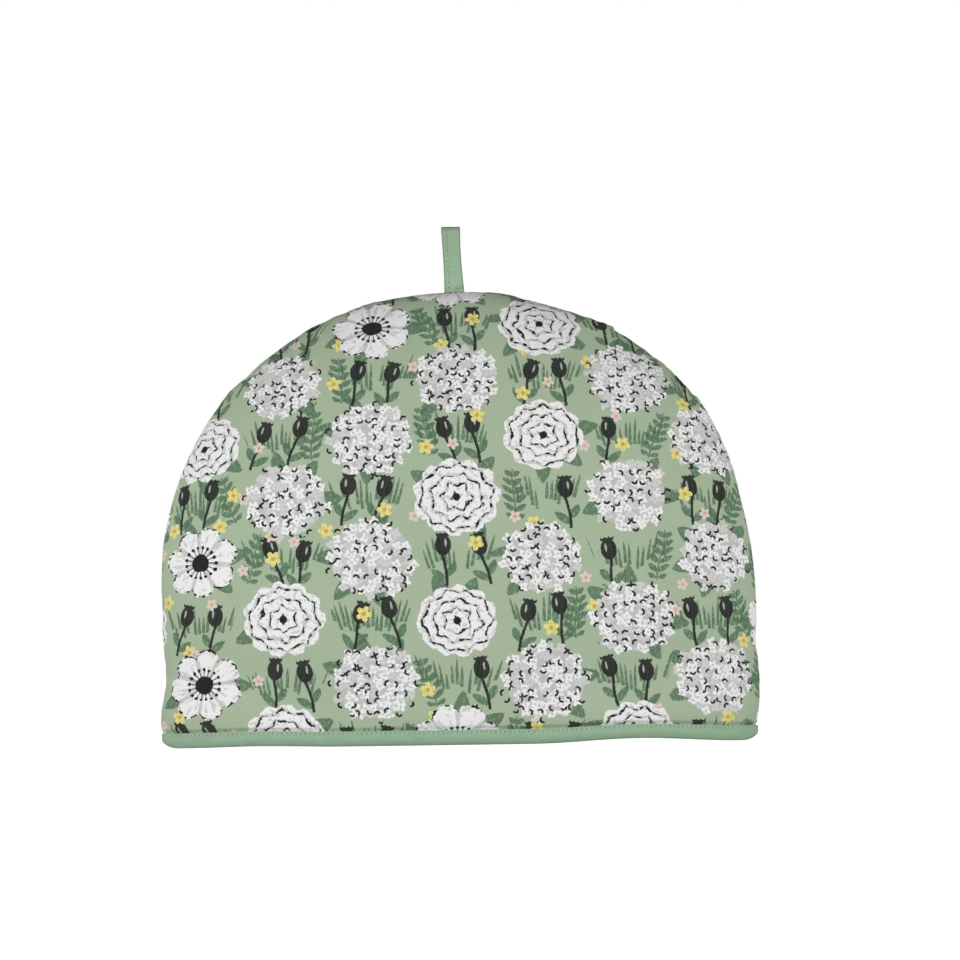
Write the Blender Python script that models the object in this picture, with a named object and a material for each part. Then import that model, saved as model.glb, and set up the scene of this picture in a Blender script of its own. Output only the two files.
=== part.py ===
"""Padded tea cosy: two bowed half-moon panels sewn along their curved edge, a bound hem and a tape loop.

The cosy stands open on its hem. X runs along its width, -Y is its front and Z is up, in metres.
The origin is on the floor, under the middle of the hem.
"""

import math
from collections import namedtuple

import bmesh
import bpy
from mathutils import Vector

MM = 0.001

# The pieces and the clearances between them.
GAP = 0.3 * MM  # between two pieces that are sewn together
HALF_DEPTH = 57.0 * MM  # from the seam's plane to the front of the bowed panel
HEM_HALF_DEPTH = 55.5 * MM  # the same at the hem, where the binding draws it in
PUFF_START = 20.0 * MM  # the wadding starts to swell at this height
PUFF_HEIGHT = 45.0 * MM  # and reaches its full bow over this much more
BOW_POWER = 2.2  # how flat the middle of a panel is
BOW_ROOT = 1.75  # how roundly a panel turns in to the seam: 2 is an ellipse
WALL_SEAM = 4.0 * MM  # the padded wall at the sewn edge
WALL_HEM = 4.2 * MM  # the padded wall inside the binding
WALL_MIDDLE = 8.5 * MM  # the padded wall where it is fullest

TAPE = 0.9 * MM  # the folded binding tape
BINDING_HEIGHT = 9.0 * MM
BINDING_ROUND = 1.3 * MM  # the rounding along the binding's lower edges
CORNER_REACH = 9.0 * MM  # how far in from each side the hem starts to turn up
CORNER_RISE = 4.5 * MM
ARCH_X = 102.0 * MM  # the front hem lifts a little off the floor here
ARCH_HALF_WIDTH = 62.0 * MM
ARCH_RISE = 2.3 * MM
ARCH_FADE = 90.0 * MM  # the lift dies out over this height

LOOP_WIDTH = 11.0 * MM
LOOP_TAPE = 1.1 * MM
LOOP_RISE = 37.0 * MM  # above the seam
LOOP_DEPTH = 3.4 * MM  # sewn into the seam
LOOP_HALF_EYE = 3.0 * MM  # half the gap between the legs, at its widest
LOOP_SWELL = 22.0 * MM  # the legs part over this height
LOOP_X = 0.8 * MM
LOOP_LEAN = math.radians(3.2)

PANEL_FOOT = TAPE + GAP  # the panels' lower edge, above the floor

OutlineRow = namedtuple("OutlineRow", "angle_deg radius_mm")
# The seam seen from the front, as radii from the middle of the hem. 0 degrees is the right-hand hem corner.
SEAM_OUTLINE = [
    OutlineRow(0, 169.5),
    OutlineRow(4, 170.0),
    OutlineRow(10, 172.8),
    OutlineRow(16, 176.5),
    OutlineRow(24, 185.3),
    OutlineRow(32, 197.4),
    OutlineRow(40, 211.2),
    OutlineRow(44, 219.2),
    OutlineRow(48, 226.9),
    OutlineRow(52, 233.6),
    OutlineRow(56, 239.2),
    OutlineRow(62, 245.4),
    OutlineRow(68, 250.0),
    OutlineRow(74, 252.6),
    OutlineRow(80, 254.6),
    OutlineRow(84, 256.6),
    OutlineRow(90, 256.2),
    OutlineRow(98, 255.0),
    OutlineRow(104, 253.0),
    OutlineRow(112, 247.5),
    OutlineRow(120, 240.4),
    OutlineRow(128, 230.3),
    OutlineRow(136, 218.6),
    OutlineRow(144, 204.6),
    OutlineRow(152, 190.2),
    OutlineRow(160, 178.0),
    OutlineRow(168, 171.0),
    OutlineRow(175, 170.1),
    OutlineRow(180, 169.5),
]

Trough = namedtuple("Trough", "side angle_deg reach_mm width_mm depth_mm")
# Soft dents that run in from the seam, where its allowance is clipped. The depth is greatest at the reach.
FRONT, BACK = -1, 1
TROUGHS = [
    Trough(FRONT, 22, 26, 20, 1.6),
    Trough(FRONT, 51, 17, 11, 2.4),
    Trough(FRONT, 70, 14, 10, 2.6),
    Trough(FRONT, 104, 20, 14, 1.6),
    Trough(FRONT, 131, 24, 18, 1.5),
    Trough(FRONT, 163, 30, 20, 1.8),
    Trough(BACK, 35, 26, 18, 1.8),
    Trough(BACK, 76, 16, 12, 2.2),
    Trough(BACK, 118, 22, 14, 2.2),
    Trough(BACK, 155, 28, 22, 1.6),
]

# The grid of a panel: a core of columns and rows, and rings that close in on the seam.
CORE_COLUMNS = 24
CORE_ROWS = 12
CORE_SHARE = 0.6  # the core's radius as a share of the outline's
RINGS = 9
LOOP_STEPS = 11  # along each leg
LOOP_TURN_STEPS = 6  # round the fold at its top

Surface = namedtuple("Surface", "colour roughness")
PRINTED_CLOTH = Surface((0.47, 0.56, 0.42), 0.85)
PLAIN_TAPE = Surface((0.28, 0.42, 0.30), 0.8)


def clear_scene():
    for obj in list(bpy.data.objects):
        bpy.data.objects.remove(obj)


def make_material(name, surface):
    material = bpy.data.materials.new(name)
    material.use_nodes = True
    shader = material.node_tree.nodes["Principled BSDF"]
    shader.inputs["Base Color"].default_value = (*surface.colour, 1.0)
    shader.inputs["Roughness"].default_value = surface.roughness
    shader.inputs["Metallic"].default_value = 0.0
    return material


def make_object(name, points, faces, surface):
    """A closed mesh with its faces turned outwards and its round parts shaded smooth."""
    mesh = bpy.data.meshes.new(name)
    mesh.from_pydata(points, [], faces)
    solid = bmesh.new()
    solid.from_mesh(mesh)
    bmesh.ops.recalc_face_normals(solid, faces=solid.faces)
    solid.to_mesh(mesh)
    solid.free()
    mesh.shade_smooth()
    mesh.set_sharp_from_angle(angle=math.radians(40))
    obj = bpy.data.objects.new(name, mesh)
    obj.data.materials.append(make_material(name + "_cloth", surface))
    bpy.context.scene.collection.objects.link(obj)
    return obj


def smooth_step(share):
    share = min(1.0, max(0.0, share))
    return share * share * (3.0 - 2.0 * share)


def outline_slope(row):
    """Millimetres of radius per degree at a row of the outline, from the rows beside it."""
    before = SEAM_OUTLINE[max(row - 1, 0)]
    after = SEAM_OUTLINE[min(row + 1, len(SEAM_OUTLINE) - 1)]
    return (after.radius_mm - before.radius_mm) / (after.angle_deg - before.angle_deg)


def outline_radius(angle):
    """The seam's radius from the middle of the hem, on a smooth curve through the outline's rows."""
    angle_deg = math.degrees(angle)
    row = 0
    while row < len(SEAM_OUTLINE) - 2 and angle_deg > SEAM_OUTLINE[row + 1].angle_deg:
        row += 1
    low, high = SEAM_OUTLINE[row], SEAM_OUTLINE[row + 1]
    span = high.angle_deg - low.angle_deg
    t = (angle_deg - low.angle_deg) / span
    radius_mm = (
        low.radius_mm * (1 + 2 * t) * (1 - t) ** 2
        + high.radius_mm * t * t * (3 - 2 * t)
        + outline_slope(row) * span * t * (1 - t) ** 2
        - outline_slope(row + 1) * span * t * t * (1 - t)
    )
    return radius_mm * MM


def bow(share):
    """How far a panel stands off the seam's plane, from 1 in the middle of the hem to 0 at the seam."""
    return max(0.0, 1.0 - share**BOW_POWER) ** (1.0 / BOW_ROOT)


def trough_depth(side, share, angle):
    """How far the dents from the seam press the cloth in, at a share of the outline's radius."""
    depth = 0.0
    for trough in TROUGHS:
        if trough.side != side:
            continue
        radius = outline_radius(angle)
        along = (1.0 - share) * radius / (trough.reach_mm * MM)
        across = (angle - math.radians(trough.angle_deg)) * radius / (trough.width_mm * MM)
        depth += trough.depth_mm * MM * along * math.exp(1.0 - along - across * across)
    return depth


def hem_shift(side, x, z):
    """How far the hem's unevenness lifts a point: the arch in the front, and the turned-up corners."""
    shift = 0.0
    off_arch = abs(x - ARCH_X) / ARCH_HALF_WIDTH
    if side == FRONT and off_arch < 1.0 and z < ARCH_FADE:
        shift += ARCH_RISE * math.cos(off_arch * math.pi / 2) ** 2 * (1.0 - z / ARCH_FADE) ** 2
    corner = (abs(x) - (SEAM_OUTLINE[0].radius_mm * MM - CORNER_REACH)) / CORNER_REACH
    if corner > 0.0 and z < BINDING_HEIGHT:
        rise = CORNER_RISE * (1.0 - math.sqrt(max(0.0, 1.0 - min(1.0, corner) ** 2)))
        shift += rise * (1.0 - z / BINDING_HEIGHT)
    return shift


def panel_point(side, share, angle, inside):
    """A point of a panel's outer or inner face, at a share of the outline's radius in one direction."""
    outer_x = share * outline_radius(angle) * math.cos(angle)
    radius = outline_radius(angle) - (WALL_SEAM if inside else 0.0)
    x = share * radius * math.cos(angle)
    z = PANEL_FOOT + share * radius * math.sin(angle)
    swell = smooth_step((z - PUFF_START) / PUFF_HEIGHT)
    half_depth = HEM_HALF_DEPTH + (HALF_DEPTH - HEM_HALF_DEPTH) * swell
    if inside:
        half_depth -= WALL_HEM + (WALL_MIDDLE - WALL_HEM) * swell
    stand_off = bow(share) * half_depth - trough_depth(side, share, angle)
    y = side * (GAP / 2 + max(0.0, stand_off))
    return Vector((x, y, z + hem_shift(side, outer_x, z)))


def half_disc_grid():
    """A half-disc as (share, angle) points, its quads, the points along its hem, and those along its seam.

    Its core is a square grid rounded off, and rings of quads run from the core to the seam. The hem runs
    from the left-hand corner to the right-hand one, and the seam goes on from there, over the top.
    """
    points, quads = [], []
    for row in range(CORE_ROWS + 1):
        for column in range(CORE_COLUMNS + 1):
            across = 2.0 * column / CORE_COLUMNS - 1.0
            up = row / CORE_ROWS
            round_across = across * math.sqrt(1.0 - up * up / 2.0)
            round_up = up * math.sqrt(1.0 - across * across / 2.0)
            share = CORE_SHARE * math.hypot(round_across, round_up)
            points.append((share, math.atan2(round_up, round_across)))

    def core(column, row):
        return row * (CORE_COLUMNS + 1) + column

    for row in range(CORE_ROWS):
        for column in range(CORE_COLUMNS):
            quads.append(
                (core(column, row), core(column + 1, row), core(column + 1, row + 1), core(column, row + 1))
            )
    ring = [core(CORE_COLUMNS, row) for row in range(CORE_ROWS + 1)]
    ring += [core(column, CORE_ROWS) for column in reversed(range(CORE_COLUMNS))]
    ring += [core(0, row) for row in reversed(range(CORE_ROWS))]
    right_edge, left_edge = [ring[0]], [ring[-1]]
    angles = [points[index][1] for index in ring]
    core_turn = math.asin(CORE_SHARE)
    for step in range(1, RINGS + 1):
        share = math.sin(core_turn + (math.pi / 2 - core_turn) * step / RINGS)
        first = len(points)
        outer_ring = list(range(first, first + len(angles)))
        points += [(share, angle) for angle in angles]
        for k in range(len(ring) - 1):
            quads.append((ring[k], outer_ring[k], outer_ring[k + 1], ring[k + 1]))
        ring = outer_ring
        right_edge.append(ring[0])
        left_edge.append(ring[-1])
    hem = left_edge[::-1] + [core(column, 0) for column in range(1, CORE_COLUMNS)] + right_edge
    return points, quads, hem, ring[1:-1]


def make_panel(name, side):
    """A padded half-moon: its outer face, its inner face and the rim that joins them."""
    grid, quads, hem, seam = half_disc_grid()
    rim = hem + seam
    points = [panel_point(side, share, angle, inside=False) for share, angle in grid]
    points += [panel_point(side, share, angle, inside=True) for share, angle in grid]
    count = len(grid)
    faces = list(quads)
    faces += [tuple(count + index for index in reversed(quad)) for quad in quads]
    for here, after in zip(rim, rim[1:] + rim[:1]):
        faces.append((here, count + here, count + after, after))
    return make_object(name, points, faces, PRINTED_CLOTH)


def hem_station(side, share, angle):
    """Where the hem's wall is in plan: its outer point, its middle, its outward direction, half its thickness."""
    outer = panel_point(side, share, angle, inside=False)
    inner = panel_point(side, share, angle, inside=True)
    outer.z = inner.z = 0.0
    if share > 1.0 - 1e-9:
        outer.y = inner.y = 0.0
    across = outer - inner
    return outer, (outer + inner) / 2, across.normalized(), across.length / 2


def binding_section(half_wall):
    """The U of the tape round the hem, as (across, up) points. The first run is its outside."""
    reach = half_wall + GAP + TAPE
    slope = BINDING_ROUND * (1.0 - math.sqrt(0.5))
    outside = [
        (reach, BINDING_HEIGHT),
        (reach, BINDING_HEIGHT / 2),
        (reach, BINDING_ROUND),
        (reach - slope, slope),
        (reach - BINDING_ROUND, 0.0),
    ]
    inside = [(half_wall + GAP, TAPE), (half_wall + GAP, BINDING_HEIGHT / 2), (half_wall + GAP, BINDING_HEIGHT)]
    mirrored = [(-across, up) for across, up in reversed(outside)]
    return outside + mirrored + [(-across, up) for across, up in reversed(inside)] + inside


def make_binding(name):
    """The tape that wraps the hem all round: its section carried round both panels."""
    grid, _, hem, _ = half_disc_grid()
    stations = [(FRONT, *grid[index]) for index in hem[:-1]]
    stations += [(BACK, *grid[index]) for index in reversed(hem[1:])]
    points, faces = [], []
    for side, share, angle in stations:
        outer, middle, outward, half_wall = hem_station(side, share, angle)
        for across, up in binding_section(half_wall):
            place = middle + outward * across
            points.append((place.x, place.y, up + hem_shift(side, outer.x, up)))
    per_station = len(points) // len(stations)
    for k in range(len(stations)):
        here = k * per_station
        after = (k + 1) % len(stations) * per_station
        for j in range(per_station):
            nxt = (j + 1) % per_station
            faces.append((here + j, after + j, after + nxt, here + nxt))
    return make_object(name, points, faces, PLAIN_TAPE)


def loop_side():
    """One leg of the loop and half its fold, as (offset, height) points of the tape's inner face."""
    leg_top = LOOP_RISE - LOOP_TAPE - LOOP_HALF_EYE
    line = [(GAP / 2, -LOOP_DEPTH)]
    for step in range(LOOP_STEPS + 1):
        height = leg_top * step / LOOP_STEPS
        line.append((GAP / 2 + (LOOP_HALF_EYE - GAP / 2) * smooth_step(height / LOOP_SWELL), height))
    for step in range(1, LOOP_TURN_STEPS + 1):
        turn = math.pi / 2 * step / LOOP_TURN_STEPS
        line.append((LOOP_HALF_EYE * math.cos(turn), leg_top + LOOP_HALF_EYE * math.sin(turn)))
    return line


def offset_line(line, distance):
    """The line moved to its right by the distance, point by point."""
    moved = []
    for k, (across, up) in enumerate(line):
        before, after = line[max(k - 1, 0)], line[min(k + 1, len(line) - 1)]
        run = Vector((after[0] - before[0], after[1] - before[1])).normalized()
        moved.append((across + run.y * distance, up - run.x * distance))
    return moved


def make_loop(name, seam_height):
    """The hanging loop: a flat tape folded over, with both its ends sewn into the seam."""
    right = loop_side()
    inner = right + [(-across, up) for across, up in reversed(right[:-1])]
    outer = offset_line(inner, LOOP_TAPE)
    ring = outer + inner[::-1]
    points = []
    for x_side in (-0.5, 0.5):
        for across, up in ring:
            x = LOOP_X + x_side * LOOP_WIDTH - up * math.tan(LOOP_LEAN)
            points.append((x, across, seam_height + up))
    count, half = len(ring), len(inner)
    faces = [(k, (k + 1) % count, count + (k + 1) % count, count + k) for k in range(count)]
    for k in range(half - 1):
        cap = (k, k + 1, count - 2 - k, count - 1 - k)
        faces.append(cap[::-1])
        faces.append(tuple(count + index for index in cap))
    return make_object(name, points, faces, PLAIN_TAPE)


def make_pocket(seam_height):
    """A cutter that parts the seam where the loop's two ends lie in it."""
    half_stack = GAP / 2 + LOOP_TAPE + GAP
    size = Vector((LOOP_WIDTH / 2 + 2 * GAP, half_stack, LOOP_DEPTH * 2))
    solid = bmesh.new()
    bmesh.ops.create_cube(solid, size=2.0)
    bmesh.ops.scale(solid, vec=size, verts=solid.verts)
    mesh = bpy.data.meshes.new("loop_pocket")
    solid.to_mesh(mesh)
    solid.free()
    cutter = bpy.data.objects.new("loop_pocket", mesh)
    cutter.location = (LOOP_X, 0.0, seam_height)
    cutter.hide_render = True
    cutter.display_type = "WIRE"
    bpy.context.scene.collection.objects.link(cutter)
    return cutter


def cut_with(obj, cutter):
    cut = obj.modifiers.new(cutter.name, "BOOLEAN")
    cut.operation = "DIFFERENCE"
    cut.solver = "EXACT"
    cut.object = cutter


def main():
    clear_scene()
    front = make_panel("front_panel", FRONT)
    back = make_panel("back_panel", BACK)
    make_binding("hem_binding")
    seam_height = PANEL_FOOT + outline_radius(math.pi / 2)
    make_loop("hanging_loop", seam_height)
    pocket = make_pocket(seam_height)
    cut_with(front, pocket)
    cut_with(back, pocket)


main()
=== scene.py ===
"""A padded tea cosy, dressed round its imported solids: printed covers, bound hem, tape loop and stitches.

The scene is in metres, in the part's own frame: X runs along its width, -Y is its front and Z is up.
The print and the weave follow the cloth itself, in millimetres along and up the flat cloth.
"""

import math
from collections import namedtuple
from functools import lru_cache, partial

import bmesh
import bpy
from mathutils import Euler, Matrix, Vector, noise


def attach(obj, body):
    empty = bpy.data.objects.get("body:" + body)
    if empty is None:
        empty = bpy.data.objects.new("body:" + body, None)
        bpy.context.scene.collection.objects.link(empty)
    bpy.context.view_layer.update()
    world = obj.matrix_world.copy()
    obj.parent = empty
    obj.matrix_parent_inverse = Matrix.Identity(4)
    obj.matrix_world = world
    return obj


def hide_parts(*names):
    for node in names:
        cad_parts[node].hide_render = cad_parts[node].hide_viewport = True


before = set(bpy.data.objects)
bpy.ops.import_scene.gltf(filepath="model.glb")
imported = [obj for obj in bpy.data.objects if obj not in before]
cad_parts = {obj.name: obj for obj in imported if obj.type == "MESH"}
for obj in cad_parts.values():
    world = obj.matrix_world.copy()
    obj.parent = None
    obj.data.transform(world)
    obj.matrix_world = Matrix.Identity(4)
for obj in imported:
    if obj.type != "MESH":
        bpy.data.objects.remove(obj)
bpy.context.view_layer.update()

MM = 0.001
TURN = 2 * math.pi
FRONT, BACK = -1, 1


def table(columns, *rows):
    """Rows of values under named columns."""
    row_type = namedtuple("Row", columns)
    return [row_type(*row) for row in rows]


def smooth_step(share):
    share = min(1.0, max(0.0, share))
    return share * share * (3.0 - 2.0 * share)


def bell(off):
    """1 in the middle, fading out on both sides."""
    return math.exp(-off * off)


def bumps(x, y, z):
    """Soft noise about 0 whose lumps are about 1 across."""
    return noise.noise(Vector((x, y, z)))


# ---- The shape of the cosy, as its solids have it ----

GAP = 0.3 * MM
HALF_DEPTH = 57.0 * MM
HEM_HALF_DEPTH = 55.5 * MM
PUFF_START = 20.0 * MM
PUFF_HEIGHT = 45.0 * MM
BOW_POWER = 2.2
BOW_ROOT = 1.75
WALL_SEAM = 4.0 * MM
WALL_HEM = 4.2 * MM
WALL_MIDDLE = 8.5 * MM
TAPE = 0.9 * MM
BINDING_HEIGHT = 9.0 * MM
CORNER_REACH = 9.0 * MM
CORNER_RISE = 4.5 * MM
ARCH_FADE = 90.0 * MM
PANEL_FOOT = TAPE + GAP

# Where the hem stands a little off the floor.
ARCHES = table(
    "x_mm half_width_mm rise_mm",
    (102, 62, 2.3),
    (-112, 48, 0.8),
)

SEAM_OUTLINE = table(
    "angle_deg radius_mm",
    (0, 169.5),
    (4, 169.6),
    (6, 171.2),
    (12, 174.6),
    (18, 177.7),
    (20, 180.2),
    (28, 191.5),
    (40, 211.2),
    (44, 219.5),
    (52, 233.7),
    (60, 243.6),
    (64, 246.8),
    (68, 250.0),
    (72, 251.8),
    (80, 254.4),
    (84, 256.3),
    (100, 254.7),
    (104, 253.1),
    (112, 247.7),
    (120, 240.4),
    (128, 230.7),
    (136, 218.8),
    (148, 198.2),
    (156, 184.2),
    (164, 173.9),
    (168, 170.6),
    (174, 170.7),
    (180, 169.5),
)

TROUGHS = table(
    "side angle_deg reach_mm width_mm depth_mm",
    (FRONT, 22, 26, 20, 1.6),
    (FRONT, 51, 17, 11, 2.4),
    (FRONT, 70, 14, 10, 2.6),
    (FRONT, 104, 20, 14, 1.6),
    (FRONT, 131, 24, 18, 1.5),
    (FRONT, 163, 30, 20, 1.8),
    (BACK, 35, 26, 18, 1.8),
    (BACK, 76, 16, 12, 2.2),
    (BACK, 118, 22, 14, 2.2),
    (BACK, 155, 28, 22, 1.6),
)

LOOP_WIDTH = 11.0 * MM
LOOP_TAPE = 1.1 * MM
LOOP_RISE = 37.0 * MM
LOOP_DEPTH = 3.4 * MM
LOOP_HALF_EYE = 3.0 * MM
LOOP_SWELL = 22.0 * MM
LOOP_X = 0.8 * MM


def outline_slope(row):
    before = SEAM_OUTLINE[max(row - 1, 0)]
    after = SEAM_OUTLINE[min(row + 1, len(SEAM_OUTLINE) - 1)]
    return (after.radius_mm - before.radius_mm) / (after.angle_deg - before.angle_deg)


@lru_cache(maxsize=None)
def outline_radius(angle):
    """The seam's radius from the middle of the hem, on a smooth curve through the outline's rows."""
    angle_deg = math.degrees(angle)
    row = 0
    while row < len(SEAM_OUTLINE) - 2 and angle_deg > SEAM_OUTLINE[row + 1].angle_deg:
        row += 1
    low, high = SEAM_OUTLINE[row], SEAM_OUTLINE[row + 1]
    span = high.angle_deg - low.angle_deg
    t = (angle_deg - low.angle_deg) / span
    radius_mm = (
        low.radius_mm * (1 + 2 * t) * (1 - t) ** 2
        + high.radius_mm * t * t * (3 - 2 * t)
        + outline_slope(row) * span * t * (1 - t) ** 2
        - outline_slope(row + 1) * span * t * t * (1 - t)
    )
    return radius_mm * MM


def bow(share):
    return max(0.0, 1.0 - share**BOW_POWER) ** (1.0 / BOW_ROOT)


def trough_depth(side, share, angle):
    radius = outline_radius(angle)
    depth = 0.0
    for trough in TROUGHS:
        across = (angle - math.radians(trough.angle_deg)) * radius / (trough.width_mm * MM)
        if trough.side == side and abs(across) < 3.0:
            along = (1.0 - share) * radius / (trough.reach_mm * MM)
            depth += trough.depth_mm * MM * along * math.exp(1.0 - along - across * across)
    return depth


def hem_shift(x, z):
    """How far the hem's unevenness lifts a point: its low arches, and its turned-up corners."""
    shift = 0.0
    for arch in ARCHES:
        off_arch = abs(x / MM - arch.x_mm) / arch.half_width_mm
        if off_arch < 1.0 and z < ARCH_FADE:
            fade = math.cos(off_arch * math.pi / 2) * (1.0 - z / ARCH_FADE)
            shift += arch.rise_mm * MM * fade**2
    corner = (abs(x) - (SEAM_OUTLINE[0].radius_mm * MM - CORNER_REACH)) / CORNER_REACH
    if corner > 0.0 and z < BINDING_HEIGHT:
        rise = CORNER_RISE * (1.0 - math.sqrt(max(0.0, 1.0 - min(1.0, corner) ** 2)))
        shift += rise * (1.0 - z / BINDING_HEIGHT)
    return shift


def panel_point(side, share, angle, inside):
    """A point of a panel's outer or inner face, at a share of the outline's radius in one direction."""
    outer_x = share * outline_radius(angle) * math.cos(angle)
    radius = outline_radius(angle) - (WALL_SEAM if inside else 0.0)
    x = share * radius * math.cos(angle)
    z = PANEL_FOOT + share * radius * math.sin(angle)
    swell = smooth_step((z - PUFF_START) / PUFF_HEIGHT)
    half_depth = HEM_HALF_DEPTH + (HALF_DEPTH - HEM_HALF_DEPTH) * swell
    if inside:
        half_depth -= WALL_HEM + (WALL_MIDDLE - WALL_HEM) * swell
    stand_off = bow(share) * half_depth - trough_depth(side, share, angle)
    y = side * (GAP / 2 + max(0.0, stand_off))
    return Vector((x, y, z + hem_shift(outer_x, z)))


# ---- The grid of a panel, and the flat cloth ----

CORE_COLUMNS = 240
CORE_ROWS = 92
CORE_SHARE = 0.6
ROW_EASE = 0.62  # how much closer together the rows are at the hem than at even steps
RINGS = 32
ARC_STEPS = 256
MEAN_RADIUS = 205.0 * MM


def half_disc_grid():
    """A half-disc as (share, angle) points, its quads, and the points along its hem and its seam."""
    points, quads = [], []
    for row in range(CORE_ROWS + 1):
        up = row / CORE_ROWS - ROW_EASE * math.sin(math.pi * row / CORE_ROWS) / math.pi
        for column in range(CORE_COLUMNS + 1):
            across = 2.0 * column / CORE_COLUMNS - 1.0
            round_across = across * math.sqrt(1.0 - up * up / 2.0)
            round_up = up * math.sqrt(1.0 - across * across / 2.0)
            share = CORE_SHARE * math.hypot(round_across, round_up)
            points.append((share, math.atan2(round_up, round_across)))

    def core(column, row):
        return row * (CORE_COLUMNS + 1) + column

    for row in range(CORE_ROWS):
        for column in range(CORE_COLUMNS):
            here, above = core(column, row), core(column, row + 1)
            quads.append((here, here + 1, above + 1, above))
    ring = [core(CORE_COLUMNS, row) for row in range(CORE_ROWS + 1)]
    ring += [core(column, CORE_ROWS) for column in reversed(range(CORE_COLUMNS))]
    ring += [core(0, row) for row in reversed(range(CORE_ROWS))]
    right_edge, left_edge = [ring[0]], [ring[-1]]
    angles = [points[index][1] for index in ring]
    core_turn = math.asin(CORE_SHARE)
    for step in range(1, RINGS + 1):
        share = math.sin(core_turn + (math.pi / 2 - core_turn) * step / RINGS)
        outer_ring = list(range(len(points), len(points) + len(angles)))
        points += [(share, angle) for angle in angles]
        for k in range(len(ring) - 1):
            quads.append((ring[k], outer_ring[k], outer_ring[k + 1], ring[k + 1]))
        ring = outer_ring
        right_edge.append(ring[0])
        left_edge.append(ring[-1])
    hem = left_edge[::-1] + [core(column, 0) for column in range(1, CORE_COLUMNS)] + right_edge
    return points, quads, hem, ring[1:-1]


def arc_lengths():
    """How far along the bowed cloth each step towards the seam lies, as a share of the radius."""
    lengths = [0.0]
    before = (0.0, bow(0.0))
    for step in range(1, ARC_STEPS + 1):
        share = math.sin(math.pi / 2 * step / ARC_STEPS)
        here = (share, bow(share))
        rise = (here[1] - before[1]) * HALF_DEPTH / MEAN_RADIUS
        lengths.append(lengths[-1] + math.hypot(here[0] - before[0], rise))
        before = here
    return lengths


ARC = arc_lengths()


def arc_share(share):
    at = math.asin(min(1.0, share)) / (math.pi / 2) * ARC_STEPS
    low = min(int(at), ARC_STEPS - 1)
    return ARC[low] + (ARC[low + 1] - ARC[low]) * (at - low)


def cloth_place(side, share, angle):
    """Where a grid point lies on the flat cloth, in metres: along, as seen from outside, and up."""
    reach = outline_radius(angle) * arc_share(share)
    return -side * reach * math.cos(angle), reach * math.sin(angle)


# ---- What the cloth adds to the solids ----

GROOVE_DEPTH = 1.5 * MM  # the seam lies this deep between the two padded edges
GROOVE_HALF_WIDTH = 1.3 * MM
PUCKER_DEPTH = 0.3 * MM  # where the seam's thread gathers the edges
PUCKER_AT_SEAM = 0.1  # the share of it that reaches the outline
PUCKER_PITCH = 10.5 * MM
PUCKER_REACH = 8.0 * MM
PUCKER_WANDER = 31.0 * MM  # over such a length their pitch varies
PUCKER_BREAKS = 37.0 * MM  # and over such a one their depth
LUMP_HEIGHT = 0.9 * MM  # the wadding's unevenness
LUMP_SIZE = 46.0 * MM
LUMP_FADE = 22.0 * MM
SMALL_LUMP_HEIGHT = 0.32 * MM
SMALL_LUMP_SIZE = 17.0 * MM
HEM_PUFF = 1.5 * MM  # the panel swells over the binding
HEM_PUFF_Z = 17.0 * MM
HEM_PUFF_HALF_HEIGHT = 8.5 * MM
HEM_PUFF_FADE = 14.0 * MM
GATHER_DEPTH = 0.45 * MM  # small upright folds where the binding holds the panel in
GATHER_SIZE = 8.0 * MM
GATHER_REACH = 13.0 * MM
HEM_PINCH = 1.2 * MM  # the binding draws the panel's outer face in by this much
CLEAR_OF_BINDING = 8.3 * MM  # below this the panel is inside the binding
HEM_CLIMB = 2.6 * MM  # it comes out over the binding's edge within this height
SEAM_BAND = 0.015  # over this last share of the radius the relief turns straight outwards
SPREAD_FADE = 4.0 * MM  # the seam parts round the loop's ends, and closes again over this width
SPREAD_DEPTH = 2.5 * MM

# Corners in the seam's outline, where its allowance is clipped. Each dies away over its run, up the
# angles or, with a minus, down them, and drops the other way.
NICKS = table(
    "angle_deg height_mm run_mm drop_mm",
    (54.6, 1.7, -9, 3),
    (69.0, 2.4, 10, 2),
    (84.2, 0.6, 6, 4),
    (101.6, 1.0, -8, 3),
    (110.0, 0.8, -14, 5),
    (122.9, 1.7, 12, 12),
    (146.0, 0.5, -12, 8),
    (158.5, 0.6, 8, 8),
)
NICK_REACH = 11.0 * MM

# Thin creases that start at the seam and run in, turned by an angle from the straight way in.
CREASES = table(
    "side angle_deg reach_mm turn_deg width_mm depth_mm",
    (FRONT, 53.6, 13, 72, 1.9, 1.5),
    (FRONT, 62.4, 8, 55, 1.8, 0.9),
    (FRONT, 69.3, 14, -24, 2.0, 1.2),
    (FRONT, 81.3, 11, 10, 1.7, 0.7),
    (FRONT, 101.0, 13, 15, 1.8, 0.8),
    (FRONT, 119.8, 14, -25, 2.0, 0.7),
    (FRONT, 20.0, 16, 30, 2.2, 0.5),
    (FRONT, 165.0, 18, -35, 2.2, 0.55),
    (BACK, 62.0, 15, 20, 1.8, 0.6),
    (BACK, 97.0, 11, -15, 1.6, 0.6),
    (BACK, 130.0, 18, -30, 1.9, 0.7),
    (BACK, 24.0, 16, 25, 2.0, 0.5),
)


def nick_height(angle):
    """The corners in the seam's outline, in metres outwards."""
    radius = outline_radius(angle)
    height = 0.0
    for nick in NICKS:
        run = nick.run_mm * MM
        past = (angle - math.radians(nick.angle_deg)) * radius * math.copysign(1.0, run)
        if past >= 0.0:
            height += nick.height_mm * MM * math.exp(-past / abs(run))
        else:
            height += nick.height_mm * MM * max(0.0, 1.0 + past / (nick.drop_mm * MM))
    return height


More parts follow.
